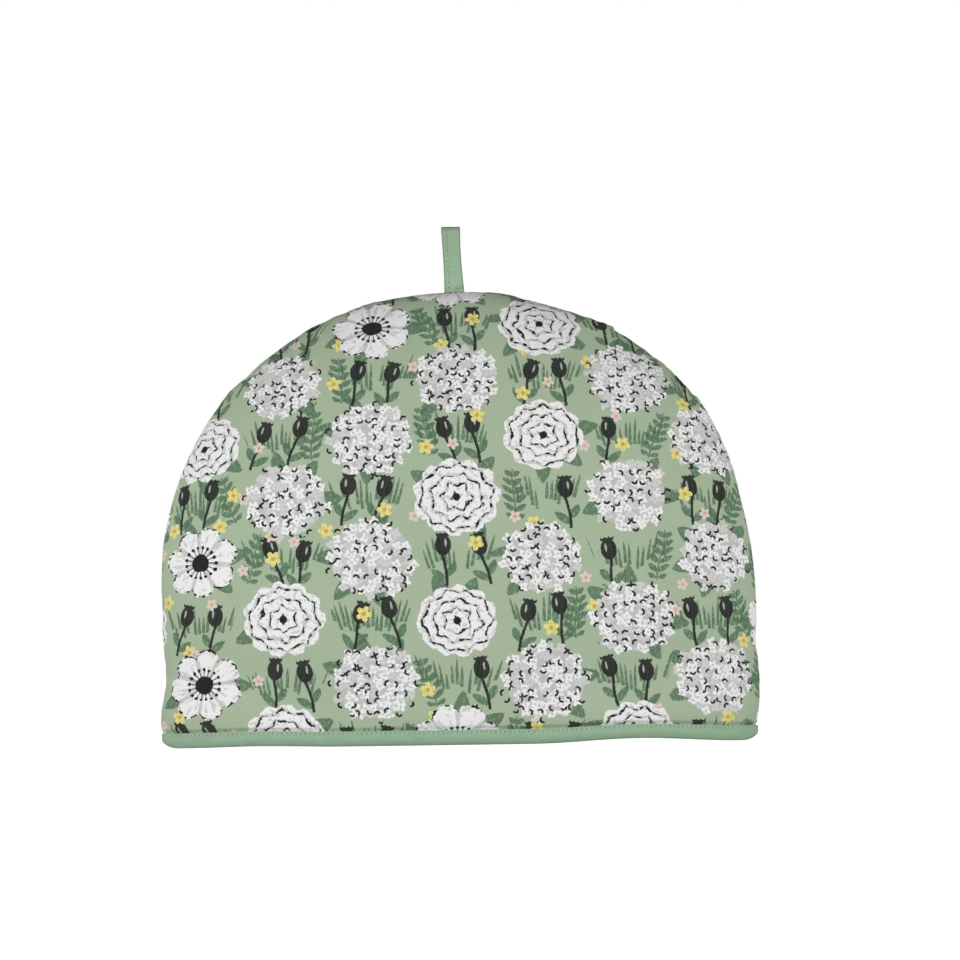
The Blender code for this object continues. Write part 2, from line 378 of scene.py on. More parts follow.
def crease_depth(side, share, angle):
    radius = outline_radius(angle)
    depth = 0.0
    for crease in CREASES:
        off_seam = (angle - math.radians(crease.angle_deg)) * radius
        if crease.side != side or abs(off_seam) > crease.reach_mm * MM * 2:
            continue
        inward = (1.0 - share) * radius
        turn = math.radians(crease.turn_deg)
        along = inward * math.cos(turn) + off_seam * math.sin(turn)
        across = off_seam * math.cos(turn) - inward * math.sin(turn)
        if along > 0.0:
            fade = bell(along / (crease.reach_mm * MM))
            depth += crease.depth_mm * MM * fade * bell(across / (crease.width_mm * MM))
    return depth


def wadding(side, along, up):
    """The lumps of the wadding under the cloth."""
    big = bumps(along / LUMP_SIZE, up / LUMP_SIZE, 3.0 * side)
    small = bumps(along / SMALL_LUMP_SIZE, up / SMALL_LUMP_SIZE, 7.0 + 3.0 * side)
    return LUMP_HEIGHT * big + SMALL_LUMP_HEIGHT * small


def puckers(side, along_seam, to_seam):
    """Small waves where thread gathers the seam, strong in some places and gone in others."""
    wander = bumps(along_seam / PUCKER_WANDER, 0.0, 2.0)
    wave = math.sin(TURN * (along_seam / PUCKER_PITCH + 0.9 * wander))
    strength = 0.55 + 0.9 * bumps(along_seam / PUCKER_BREAKS, 5.0, 2.0 + 0.3 * side)
    reach = to_seam / PUCKER_REACH
    fade = min(1.0, 2.2 * reach + PUCKER_AT_SEAM) * math.exp(-reach)
    return PUCKER_DEPTH * max(0.0, strength) * wave * fade


def relief(side, share, angle, point):
    """How far the cloth stands off the solid's face, in metres."""
    along, up = cloth_place(side, share, angle)
    radius = outline_radius(angle)
    to_seam = radius * (ARC[-1] - arc_share(share))
    clear = smooth_step((point.z - hem_shift(point.x, point.z) - CLEAR_OF_BINDING) / HEM_CLIMB)
    lift = wadding(side, along, up) * smooth_step(to_seam / LUMP_FADE)
    puff = HEM_PUFF * bell((point.z - HEM_PUFF_Z) / HEM_PUFF_HALF_HEIGHT)
    lift += puff * smooth_step(to_seam / HEM_PUFF_FADE)
    gather = bumps(along / GATHER_SIZE, 0.4 * up / GATHER_REACH, 11.0 + side)
    lift += GATHER_DEPTH * gather * math.exp(-max(0.0, point.z - BINDING_HEIGHT) / GATHER_REACH)
    lift += puckers(side, angle * radius, to_seam)
    lift += nick_height(angle) * math.exp(-to_seam / NICK_REACH)
    lift -= crease_depth(side, share, angle)
    lift -= GROOVE_DEPTH * bell(point.y / GROOVE_HALF_WIDTH)
    return lift * clear - HEM_PINCH * (1.0 - clear)


def loop_spread(point):
    """How far the seam parts round the loop's two ends."""
    off_loop = abs(point.x - LOOP_X) - (LOOP_WIDTH / 2 + GAP)
    top = PANEL_FOOT + outline_radius(math.pi / 2) - 2.2 * LOOP_DEPTH
    near = (1.0 - smooth_step(off_loop / SPREAD_FADE)) * smooth_step((point.z - top) / LOOP_DEPTH)
    return (LOOP_TAPE + GAP) * near * bell(point.y / SPREAD_DEPTH)


def skin_points(side, grid, quads):
    """The outer face of a cover: the solid's face with the cloth's own relief."""
    base = [panel_point(side, share, angle, inside=False) for share, angle in grid]
    sheet = bpy.data.meshes.new("skin")
    sheet.from_pydata(base, [], [quad[:: -side] for quad in quads])
    normals = [vertex.normal.copy() for vertex in sheet.vertices]
    bpy.data.meshes.remove(sheet)
    points = []
    for (share, angle), point, normal in zip(grid, base, normals):
        outward = Vector((math.cos(angle), 0.0, math.sin(angle)))
        towards_seam = smooth_step((share - 1.0 + SEAM_BAND) / SEAM_BAND)
        way = (normal * (1.0 - towards_seam) + outward * towards_seam).normalized()
        moved = point + way * relief(side, share, angle, point)
        moved.y += side * loop_spread(moved)
        points.append(moved)
    return points


# ---- Meshes ----

BAKE_WIDTH = 430.0  # millimetres of flat cloth across the whole map
BAKE_MARGIN = 0.015
INSIDE_SCALE = 0.2
INSIDE_CORNER = (0.02, 0.8)


def make_mesh(name, points, faces, materials, face_materials=None, **marks):
    """A closed mesh with its faces turned outwards, shaded smooth.

    Marks give each point three numbers that the materials read. "cloth" is its place on the flat cloth in
    millimetres, and 1 on the back panel; on the loop, its third number is painted shade at the folded
    edges.
    "sewing" is the stitches so far, the millimetres off their row, and their pitch.
    """
    mesh = bpy.data.meshes.new(name)
    mesh.from_pydata(points, [], faces)
    for material in materials:
        mesh.materials.append(material)
    if face_materials:
        mesh.polygons.foreach_set("material_index", face_materials)
    shell = bmesh.new()
    shell.from_mesh(mesh)
    bmesh.ops.recalc_face_normals(shell, faces=shell.faces)
    shell.to_mesh(mesh)
    shell.free()
    mesh.shade_smooth()
    for mark, triples in marks.items():
        layer = mesh.attributes.new(mark, "FLOAT_VECTOR", "POINT")
        layer.data.foreach_set("vector", [value for triple in triples for value in triple])
    obj = bpy.data.objects.new(name, mesh)
    bpy.context.scene.collection.objects.link(obj)
    return obj


def tube_faces(first, rings, sides, closed=False):
    """Quads from each ring of points to the next. A closed tube joins up, an open one gets two ends."""
    faces = []
    for ring in range(rings if closed else rings - 1):
        here, after = first + ring * sides, first + (ring + 1) % rings * sides
        for k in range(sides):
            nxt = (k + 1) % sides
            faces.append((here + k, here + nxt, after + nxt, after + k))
    if not closed:
        faces += [tuple(range(end, end + sides)) for end in (first, first + (rings - 1) * sides)]
    return faces


def lay_out_map(mesh, inside_from):
    """The map that a bake reads: the outer face over most of it, and the inner face small in a corner."""
    layer = mesh.uv_layers.new(name="OFBake")
    places = mesh.attributes["cloth"].data
    for loop in mesh.loops:
        place = places[loop.vertex_index].vector
        across = place[0] / BAKE_WIDTH + 0.5
        up = place[1] / BAKE_WIDTH + BAKE_MARGIN
        if loop.vertex_index >= inside_from:
            across = INSIDE_CORNER[0] + across * INSIDE_SCALE
            up = INSIDE_CORNER[1] + up * INSIDE_SCALE
        layer.uv[loop.index].vector = (across, up)


def make_cover(name, side, printed, plain):
    """A padded panel: its printed outer face, its plain inner face, and the rim that closes it."""
    grid, quads, hem, seam = half_disc_grid()
    rim = hem + seam
    count = len(grid)
    points = skin_points(side, grid, quads)
    points += [panel_point(side, share, angle, inside=True) for share, angle in grid]
    faces = quads + [tuple(count + index for index in reversed(quad)) for quad in quads]
    for here, after in zip(rim, rim[1:] + rim[:1]):
        faces.append((here, count + here, count + after, after))
    face_materials = [0] * len(quads) + [1] * (len(faces) - len(quads))
    places = [cloth_place(side, share, angle) for share, angle in grid] * 2
    cloth = [(along / MM, up / MM, 1.0 if side == BACK else 0.0) for along, up in places]
    cover = make_mesh(name, points, faces, [printed, plain], face_materials, cloth=cloth)
    lay_out_map(cover.data, count)
    return cover


# ---- The binding and its stitches ----

BINDING_STEP = 0.75 * MM
BINDING_TOP = 8.5 * MM  # where its sewn edge lies
BINDING_BULGE = 0.5 * MM
BINDING_RIPPLE = 0.16 * MM
RIPPLE_SIZE = 9.0 * MM
RIPPLE_FROM = 2.0 * MM  # it begins this high above the floor, and grows over its rise
RIPPLE_RISE = 3.0 * MM
FLATTER_AT_ENDS = 0.8  # the share of the bulge that the two ends of the cosy lack
HEM_SAMPLES = 4000  # on each side, from which even steps are picked
EDGE_WANDER = 0.22 * MM
EDGE_WANDER_SIZE = 14.0 * MM
STITCH_PITCH = 2.7 * MM
STITCH_LENGTH = 1.9 * MM
STITCH_DIP = 0.22 * MM
DIP_MEAN, DIP_SWING = 0.7, 0.3  # in shares of the dip: the thread pulls deepest at the middle of a stitch
STITCH_BELOW_EDGE = 1.4 * MM
THREAD = 0.22 * MM  # the thread's radius
THREAD_TAPER = 0.25  # a stitch loses this share of its radius towards its ends
THREAD_SINK = 2.4  # and its ends go this many radii down
THREAD_SIDES = 6
THREAD_RINGS = 7

# The padded roll under the stitches, from its fullest height down to the floor.
HEM_ROLL = table(
    "up_mm inset_mm",
    (4.8, 0.0),
    (3.7, 0.1),
    (2.8, 0.32),
    (2.0, 0.62),
    (1.3, 0.98),
    (0.7, 1.4),
    (0.25, 1.84),
    (0.0, 2.3),
)

HemStation = namedtuple("HemStation", "outer middle outward half_wall run")


def hem_point(side, x_share, inside):
    """A point of the hem's wall in plan, at a signed share of its half-width."""
    point = panel_point(side, abs(x_share), 0.0 if x_share >= 0.0 else math.pi, inside)
    point.z = 0.0
    return point


def hem_station(side, x_share, run):
    outer, inner = hem_point(side, x_share, False), hem_point(side, x_share, True)
    if abs(x_share) > 1.0 - 1e-9:
        outer.y = inner.y = 0.0
    outward = (outer - inner).normalized()
    outer -= outward * HEM_PINCH
    return HemStation(outer, (outer + inner) / 2, outward, (outer - inner).length / 2, run)


def hem_stations():
    """Even steps all round the hem, from the left-hand corner along the front and home along the back."""
    steps = [math.cos(math.pi * step / HEM_SAMPLES) for step in range(HEM_SAMPLES)]
    dense = [(side, side * step) for side in (FRONT, BACK) for step in steps]
    places = [hem_point(side, x_share, False) for side, x_share in dense]
    runs = [0.0]
    for before, after in zip(places, places[1:] + places[:1]):
        runs.append(runs[-1] + (after - before).length)
    count = round(runs[-1] / BINDING_STEP)
    stations, k = [], 0
    for number in range(count):
        wanted = runs[-1] * number / count
        while runs[k + 1] < wanted:
            k += 1
        stations.append(hem_station(*dense[k], wanted))
    return stations, runs[-1]


def edge_lift(run):
    """How far the binding's sewn edge wanders up and down."""
    return EDGE_WANDER * bumps(run / EDGE_WANDER_SIZE, 0.0, 21.0)


def binding_section(half_wall, lift, pinch, bulge):
    """The tape's section as (across, up) points: up inside, over its sewn edge and down outside, twice."""
    reach = half_wall + GAP + TAPE
    inner = half_wall + 0.06 * MM
    top = BINDING_TOP + lift
    half = [
        (inner, TAPE),
        (inner, BINDING_TOP * 0.5),
        (inner, top - 0.7 * MM),
        (inner + 0.06 * MM, top - 0.2 * MM),
        (inner + 0.36 * MM, top + 0.05 * MM),
        (reach - 0.35 * MM, top),
        (reach - 0.08 * MM, top - 0.22 * MM),
        (reach, top - 0.6 * MM),
        (reach - pinch * 0.5, top - 1.0 * MM),
        (reach - pinch, top - STITCH_BELOW_EDGE),
        (reach - pinch * 0.4, top - 1.9 * MM),
        (reach + bulge * 0.6, top - 2.6 * MM),
    ]
    half += [(reach + bulge - point.inset_mm * MM, point.up_mm * MM) for point in HEM_ROLL]
    return half + [(-across, up) for across, up in reversed(half)]


def make_binding(name, material, stations, length):
    """The plain tape that wraps the hem all round, drawn in a little at each stitch."""
    points, marks, sewing = [], [], []
    pitch = length / round(length / STITCH_PITCH)
    for station in stations:
        stitches = station.run / pitch
        lift = edge_lift(station.run)
        pinch = STITCH_DIP * (DIP_MEAN - DIP_SWING * math.cos(TURN * stitches))
        bulge = BINDING_BULGE * (1.0 - FLATTER_AT_ENDS * station.outward.x**4)
        section = binding_section(station.half_wall, lift, pinch, bulge)
        ripple = BINDING_RIPPLE * bumps(station.run / RIPPLE_SIZE, 3.0, 22.0)
        so_far = 0.0
        for k, (across, up) in enumerate(section):
            so_far += math.dist(section[k], section[max(k - 1, 0)])
            swell = ripple * smooth_step((up - RIPPLE_FROM) / RIPPLE_RISE) * math.copysign(1.0, across)
            place = station.middle + station.outward * (across + swell)
            points.append((place.x, place.y, up + hem_shift(station.outer.x, up)))
            marks.append((station.run / MM, so_far / MM, 0.0))
            sewing.append((stitches, (up - BINDING_TOP - lift + STITCH_BELOW_EDGE) / MM, pitch / MM))
    faces = tube_faces(0, len(stations), len(section), closed=True)
    return make_mesh(name, points, faces, [material], cloth=marks, sewing=sewing)


def add_stitch(points, faces, middle, along, outward, length, thread):
    """One stitch of a length and a thread's radius. It bows a little, and its ends go into the cloth."""
    beside = along.cross(outward).normalized()
    faces += tube_faces(len(points), THREAD_RINGS, THREAD_SIDES)
    for ring in range(THREAD_RINGS):
        t = 2.0 * ring / (THREAD_RINGS - 1) - 1.0
        radius = thread * (1.0 - THREAD_TAPER * t * t)
        centre = middle + along * (t * length / 2) + outward * (thread * (1.0 - THREAD_SINK * t**4))
        for k in range(THREAD_SIDES):
            turn = TURN * k / THREAD_SIDES
            points.append(centre + (beside * math.cos(turn) + outward * math.sin(turn)) * radius)


def make_hem_stitches(name, material, stations, length):
    """The machine stitches along the binding's upper edge, outside and inside."""
    count = round(length / STITCH_PITCH)
    points, faces = [], []
    for number in range(count):
        station = stations[round((number + 0.5) * len(stations) / count) % len(stations)]
        along = Vector((-station.outward.y, station.outward.x, 0.0))
        height = BINDING_TOP - STITCH_BELOW_EDGE + edge_lift(station.run)
        height += hem_shift(station.outer.x, height)
        reach = station.half_wall + GAP + TAPE - STITCH_DIP
        for way in (1, -1):
            middle = station.middle + station.outward * (reach * way)
            middle.z = height
            add_stitch(points, faces, middle, along, station.outward * way, STITCH_LENGTH, THREAD)
    return make_mesh(name, points, faces, [material])


# ---- The hanging loop and its stitches ----

LOOP_LEG_STEPS = 72
LOOP_LEG_EASE = 1.35  # the steps are closer together near the seam
LOOP_TURN_STEPS = 16
LOOP_SECTION_STEPS = 20
LOOP_EDGE_TURNS = (0.45, 0.8, 1.15, math.pi / 2, 1.99, 2.34, 2.69)
LOOP_STITCH_IN = 2.5 * MM  # how far in from its left edge its one row of stitches runs
LOOP_STITCH_FROM = 1.0 * MM
LOOP_STITCH_PITCH = 3.0 * MM
LOOP_STITCH_LENGTH = 2.1 * MM
LOOP_THREAD = 0.13 * MM
LOOP_EDGE = 1.1 * MM  # its long edges round off over this width
LOOP_FOLD_SHADE = 1.1 * MM  # painted shade: the tape is drawn a little darker this near its folded edges, where they turn away from the light
LOOP_CRUMPLE = 0.3 * MM  # small crumples at its foot
LOOP_CRUMPLE_SIZE = 3.0 * MM
LOOP_CRUMPLE_FADE = 6.0 * MM
LOOP_SAG = 0.4 * MM  # broad dents all along it
LOOP_SAG_WIDTH = 5.0 * MM
LOOP_SAG_LENGTH = 7.0 * MM
LOOP_NARROW = 0.9 * MM  # how far its legs draw together again below the fold
LOOP_NARROW_FROM = 22.0 * MM

# Where the middle of the tape lies across the cosy, and how wide the tape is, from its foot to its fold.
LOOP_ROWS = table(
    "height_mm middle_mm width_mm",
    (0, 0.4, 11.3),
    (8, 0.0, 10.6),
    (16, -0.45, 10.2),
    (26, -0.95, 10.3),
    (37, -1.3, 10.9),
)

# Creases across the front of the loop, each at a height at its middle, and running from one place to
# another. One with a depth below nothing stands out instead.
LOOP_CREASES = table(
    "height_mm slope width_mm depth_mm from_mm to_mm",
    (1.6, 0.26, 0.55, 1.2, 0.2, 6.5),
    (0.4, 0.26, 0.6, -0.7, 0.2, 6.5),
    (1.6, -0.25, 0.5, 0.3, -6.0, 1.5),
    (17.5, 0.12, 1.4, 0.12, -2.0, 6.0),
    (26.0, -0.2, 1.6, 0.14, -2.5, 6.0),
)


def loop_line():
    """The middle of the tape as (y, height above the seam): the front leg, the fold and the back leg."""
    half_tape = LOOP_TAPE / 2
    reach = LOOP_HALF_EYE + half_tape - LOOP_NARROW
    leg_top = LOOP_RISE - half_tape - reach
    leg = [(GAP / 2 + half_tape, -LOOP_DEPTH)]
    for step in range(LOOP_LEG_STEPS + 1):
        height = leg_top * (step / LOOP_LEG_STEPS) ** LOOP_LEG_EASE
        swell = (LOOP_HALF_EYE - GAP / 2) * smooth_step(height / LOOP_SWELL)
        narrowed = (height - LOOP_NARROW_FROM) / (leg_top - LOOP_NARROW_FROM)
        swell -= LOOP_NARROW * max(0.0, narrowed) ** 2
        leg.append((GAP / 2 + half_tape + swell, height))
    for step in range(1, LOOP_TURN_STEPS + 1):
        turn = math.pi / 2 * step / LOOP_TURN_STEPS
        leg.append((reach * math.cos(turn), leg_top + reach * math.sin(turn)))
    return [(-y, z) for y, z in leg] + [(y, z) for y, z in reversed(leg[:-1])]


def run_lengths(line):
    """How far along a line each of its points lies."""
    runs = [0.0]
    for before, after in zip(line, line[1:]):
        runs.append(runs[-1] + math.dist(before, after))
    return runs


def tape_section(width):
    """The tape's section as (across, out) points, its two long edges rounded off."""
    flat = width / 2 - LOOP_EDGE
    section = []
    for step in range(LOOP_SECTION_STEPS + 1):
        section.append((flat * (2.0 * step / LOOP_SECTION_STEPS - 1.0), LOOP_TAPE / 2))
    for turn in LOOP_EDGE_TURNS:
        section.append((flat + LOOP_EDGE * math.sin(turn), LOOP_TAPE / 2 * math.cos(turn)))
    return section + [(-across, -out) for across, out in section]


def loop_frame(line, k):
    """The way along the loop's line and the way out of its outer face, in the plane of y and z."""
    before, after = line[max(k - 1, 0)], line[min(k + 1, len(line) - 1)]
    along = Vector((0.0, after[0] - before[0], after[1] - before[1])).normalized()
    return along, Vector((0.0, -along.z, along.y))


def loop_reach(height):
    """The middle of the tape and its width at a height, both in metres."""
    height_mm = min(LOOP_ROWS[-1].height_mm, max(0.0, height / MM))
    low, high = next(rows for rows in zip(LOOP_ROWS, LOOP_ROWS[1:]) if height_mm <= rows[1].height_mm)
    share = (height_mm - low.height_mm) / (high.height_mm - low.height_mm)
    middle = low.middle_mm + (high.middle_mm - low.middle_mm) * share
    width = low.width_mm + (high.width_mm - low.width_mm) * share
    return middle * MM, width * MM


def loop_crease(across, height):
    """How far the creases fold the loop's front in at a place on it."""
    depth = 0.0
    for crease in LOOP_CREASES:
        off = height - crease.height_mm * MM - crease.slope * across
        begun = smooth_step(across / MM - crease.from_mm)
        ended = smooth_step(crease.to_mm - across / MM)
        depth += crease.depth_mm * MM * begun * ended * bell(off / (crease.width_mm * MM))
    return depth


def make_loop(name, material, seam_height):
    """The folded tape loop, with both its ends caught in the seam."""
    line = loop_line()
    runs = run_lengths(line)
    pitch = runs[-1] / round(runs[-1] / LOOP_STITCH_PITCH)
    points, marks, sewing = [], [], []
    for k, (y, height) in enumerate(line):
        outward = loop_frame(line, k)[1]
        crumple = LOOP_CRUMPLE * math.exp(-max(0.0, height) / LOOP_CRUMPLE_FADE)
        high = height / LOOP_CRUMPLE_SIZE
        middle_x, width = loop_reach(height)
        section = tape_section(width)
        for across, out in section:
            ripple = crumple * bumps(across / LOOP_CRUMPLE_SIZE, high, 31.0 + (y > 0))
            sag = LOOP_SAG * bumps(across / LOOP_SAG_WIDTH, runs[k] / LOOP_SAG_LENGTH, 33.0)
            fold = loop_crease(across, height) if y < 0 else 0.0
            place = outward * (out + ripple + sag - fold)
            points.append((middle_x + across, y + place.y, seam_height + height + place.z))
            # Painted shade: 1 at the folded edges, where they turn away from the light, so that the tape
            # is drawn darker there.
            folded = smooth_step((abs(across) - width / 2 + LOOP_FOLD_SHADE) / LOOP_FOLD_SHADE)
            marks.append(((across + LOOP_WIDTH) / MM, runs[k] / MM, folded))
            sewing.append((runs[k] / pitch, (across + width / 2 - LOOP_STITCH_IN) / MM, pitch / MM))
    faces = tube_faces(0, len(line), len(section))
    return make_mesh(name, points, faces, [material], cloth=marks, sewing=sewing)


def make_loop_stitches(name, material, seam_height):
    """One row of stitches along the loop's outer face, near its left edge."""
    line = loop_line()
    runs = run_lengths(line)
    count = round(runs[-1] / LOOP_STITCH_PITCH)
    points, faces = [], []
    for number in range(count):
        wanted = runs[-1] * (number + 0.5) / count
        k = next(i for i in range(len(runs)) if runs[i] >= wanted)
        y, height = line[k]
        if height < LOOP_STITCH_FROM:
            continue
        along, outward = loop_frame(line, k)
        middle_x, width = loop_reach(height)
        x = middle_x + LOOP_STITCH_IN - width / 2
        middle = Vector((x, y, seam_height + height)) + outward * (LOOP_TAPE / 2)
        add_stitch(points, faces, middle, along, outward, LOOP_STITCH_LENGTH, LOOP_THREAD)
    return make_mesh(name, points, faces, [material])


# ---- Patterns as shader nodes ----


def linear(red, green, blue):
    """A colour given as it looks on a screen, from 0 to 255, as the light it stands for."""
    return tuple(((c / 255 + 0.055) / 1.055) ** 2.4 for c in (red, green, blue))


def operator(operation, swapped=False):
    """A method that makes a math node of a field and another value."""

    def method(self, other):
        return calculate(operation, *((other, self) if swapped else (self, other)))

    return method


class Field:
    """A value that varies over the cloth: a shader node's output. Sums and the like make more nodes."""

    tree = None  # the node tree that is being made

    def __init__(self, socket):
        self.socket = socket

    def __abs__(self):
        return calculate("ABSOLUTE", self)

    __add__, __radd__ = operator("ADD"), operator("ADD", swapped=True)
    __sub__, __rsub__ = operator("SUBTRACT"), operator("SUBTRACT", swapped=True)
    __mul__, __rmul__ = operator("MULTIPLY"), operator("MULTIPLY", swapped=True)
    __truediv__ = operator("DIVIDE")


def feed(socket, value):
    """Links a field to a node's input, or sets it to a number or a colour."""
    if isinstance(value, Field):
        Field.tree.links.new(value.socket, socket)
    elif isinstance(value, tuple) and socket.type == "RGBA":
        socket.default_value = (*value, 1.0)
    else:
        socket.default_value = value


def add_node(kind, inputs=None, **settings):
    """A node with its settings, and its inputs, by name or number, linked to fields or set."""
    node = Field.tree.nodes.new(kind)
    node.location = (190 * (len(Field.tree.nodes) % 24), -170 * (len(Field.tree.nodes) // 24))
    for name, value in settings.items():
        setattr(node, name, value)
    for name, value in (inputs or {}).items():
        feed(node.inputs[name], value)
    return node


def calculate(operation, *values):
    return Field(add_node("ShaderNodeMath", dict(enumerate(values)), operation=operation).outputs[0])


floor_of = partial(calculate, "FLOOR")
fraction = partial(calculate, "FRACT")
sine = partial(calculate, "SINE")
cosine = partial(calculate, "COSINE")
power = partial(calculate, "POWER")
lowest = partial(calculate, "MINIMUM")
highest = partial(calculate, "MAXIMUM")
over = partial(calculate, "GREATER_THAN")  # 1 where the first value is over the second, and 0 elsewhere


def turn_of(x, y):
    return calculate("ARCTAN2", y, x)


def vector(x, y, z=0.0):
    return Field(add_node("ShaderNodeCombineXYZ", {"X": x, "Y": y, "Z": z}).outputs[0])


def length_of(x, y):
    return Field(add_node("ShaderNodeVectorMath", {0: vector(x, y)}, operation="LENGTH").outputs["Value"])


def parts_of(socket):
    """The three numbers of a vector or a colour."""
    node = add_node("ShaderNodeSeparateXYZ", {0: Field(socket)})
    return tuple(Field(output) for output in node.outputs)


def turned(x, y, angle):
    """The point seen in axes that are turned by an angle."""
    c, s = cosine(angle), sine(angle)
    return x * c + y * s, y * c - x * s


def cloud(x, y, size, seed, detail=2.0):
    """Soft noise from 0 to 1 whose lumps are about one size across."""
    inputs = {"Vector": vector(x / size, y / size, seed), "Scale": 1.0, "Detail": detail, "Roughness": 0.5}
    return Field(add_node("ShaderNodeTexNoise", inputs, noise_dimensions="3D").outputs["Fac"])


def chances(x, y, seed):
    """Three random numbers from 0 to 1 that belong to a whole-number place."""
    node = add_node("ShaderNodeTexWhiteNoise", {"Vector": vector(x, y, seed)}, noise_dimensions="3D")
    return parts_of(node.outputs["Color"])


Spot = namedtuple("Spot", "x y chance other")
Cell = namedtuple("Cell", "x y first second third")


def scatter(x, y, size):
    """Spots about one size apart: the way from the nearest one to here, and two random numbers for it."""
    inputs = {"Vector": vector(x, y), "Scale": 1.0 / size, "Randomness": 0.75}
    node = add_node("ShaderNodeTexVoronoi", inputs, voronoi_dimensions="2D", feature="F1")
    middle_x, middle_y, _ = parts_of(node.outputs["Position"])
    chance, other, _ = parts_of(node.outputs["Color"])
    return Spot(x - middle_x, y - middle_y, chance, other)


def half_drop(x, y, width, height, seed):
    """Half-drop repeats: the way from the cell's middle to here, and three random numbers for the cell."""
    column = floor_of(x / width)
    dropped = y + fraction(column * 0.5) * height
    row = floor_of(dropped / height)
    across = x - (column + 0.5) * width
    up = dropped - (row + 0.5) * height
    return Cell(across, up, *chances(column, row, seed))


def chosen(one, other, pick_other):
    """One field, or another where the pick is 1."""
    node = add_node("ShaderNodeMix", {0: pick_other, 2: one, 3: other}, data_type="FLOAT")
    return Field(node.outputs[0])


def staggered(x, y, width, height, seed):
    """Cells round the points of a half-drop lattice, each place going to its nearest point."""
    column, row = x / (2.0 * width), y / height
    sets = []
    for shift in (0.0, 0.5):
        column_number, row_number = floor_of(column + shift), floor_of(row + shift)
        across = (column + shift - column_number - 0.5) * (2.0 * width)
        up = (row + shift - row_number - 0.5) * height
        sets.append((across, up, column_number + shift, row_number))
    near, far = sets
    pick = over(length_of(near[0], near[1]), length_of(far[0], far[1]))
    across, up, column_number, row_number = (chosen(one, other, pick) for one, other in zip(near, far))
    return Cell(across, up, *chances(column_number, row_number, seed))


def inked(distance):
    """1 inside a shape and 0 outside it, from the distance to its edge in millimetres."""
    limits = {"Value": distance, "From Min": INK_EDGE, "From Max": -INK_EDGE}
    return Field(add_node("ShaderNodeMapRange", limits, clamp=True).outputs["Result"])


def mixed(under, top, share, **settings):
    """One colour over another by a share."""
    node = add_node("ShaderNodeMix", data_type="RGBA", **settings)
    colours = [socket for socket in (*node.inputs, *node.outputs) if socket.type == "RGBA"]
    for socket, value in zip((node.inputs["Factor"], *colours), (share, under, top)):
        feed(socket, value)
    return Field(colours[2])


def shaded(colour, tone):
    """A colour darkened or lightened by a field about 1."""
    return mixed(colour, vector(tone, tone, tone), 1.0, blend_type="MULTIPLY")


# ---- The print: large white blooms over blades and leaves, dark seed heads and small blossoms ----
# Its sizes are in millimetres. A distance is from a shape's edge, below nothing inside it.

INK_EDGE = 0.16  # an ink fades out over this much each way at its edge
NOWHERE = 50.0  # added to a distance, this leaves a shape out

GROUND = linear(174, 187, 161)
GROUND_GREEN = linear(163, 184, 155)
WHITE_INK = linear(239, 239, 239)
GREY_INK = linear(210, 210, 208)
DEEP_GREY_INK = linear(193, 194, 192)
CHARCOAL = linear(29, 31, 31)
LEAF = linear(80, 112, 85)
PALE_LEAF = linear(106, 138, 107)
YELLOW = linear(221, 207, 108)
PALE_YELLOW = linear(229, 224, 158)
OCHRE = linear(204, 168, 88)
PINK = linear(224, 205, 196)
ROSE = linear(206, 172, 158)

COLUMN = 49.5  # from one column of blooms to the next, which stands half a repeat lower
REPEAT = 70.0
BLOOM_RADIUS = 20.2
BLOOM_SPREAD = 2.4
BLOOM_BREADTH = 1.12  # how much wider than tall a bloom is
BLOOM_STRAY_X = 4.0  # a bloom lies up to half of this off its place in the repeat
BLOOM_STRAY_Y = 3.0
OPEN_FROM = 0.42  # the shares of the blooms at which each further kind begins
RUFFLED_FROM = 0.72
SHAKE = 0.9  # how far the drawn edges waver
SHAKE_SIZE = 1.3
BLADE_PITCH = 2.35
LEAVES_BEHIND = 7
FLORET_PITCH = 5.0
HOOK_PITCH = 5.4
BEADS = 17
BEAD_RING = 8.8
SEED_HEAD = 5.2
LEAFLET_PITCH = 5.0
SPRIG_ACROSS = 17.0  # a sprig's and the seed heads' places, sideways from the middle of a gap
SEED_HEADS = table(
    "across share seed",
    (-12.0, 1.0, 23.0),
    (7.0, 0.8, 27.0),
)


def bloom_reach(x, y):
    """How far from a bloom's middle a place is, on the bloom's own broad rounds."""
    return length_of(x / BLOOM_BREADTH, y)


def lens(along, half_width, fullness):
    """The half-width of a leaf at a share of its length, from one pointed end to the other."""
    return half_width * power(highest(along * (1.0 - along) * 4.0, 0.0), fullness)


def leaf_shape(x, y, lean, length, half_width):
    """A lance-shaped leaf from a point, leaning from straight up by an angle, as a distance."""
    c, s = math.cos(lean), math.sin(lean)
    along = (x * s + y * c) / length
    across = abs(x * c - y * s)
    return highest(across - lens(along, half_width, 0.75), (abs(along - 0.5) - 0.5) * length)


def blades(x, y, chance, seed):
    """A clump of grass blades that fan out from below, as a distance; x and y are from its middle."""
    fan = x / (1.0 + (y + 9.0) * 0.02)
    number = floor_of(fan / BLADE_PITCH)
    one, other, third = chances(number, chance * 97.0, seed)
    off = abs(fan - (number + 0.3 + one * 0.4) * BLADE_PITCH)
    foot = one * 7.0 - 11.0 + abs(number) * 0.35
    height = 9.5 + other * 8.5 - abs(number) * 0.3
    along = (y - foot) / height
    width = 1.1 * power(highest(1.0 - along, 0.0), 0.45) - 0.1
    blade = highest(off - width, along * -8.0)
    return highest(blade, abs(fan) - 15.8 - third * 5.0) + over(third, 0.88) * NOWHERE


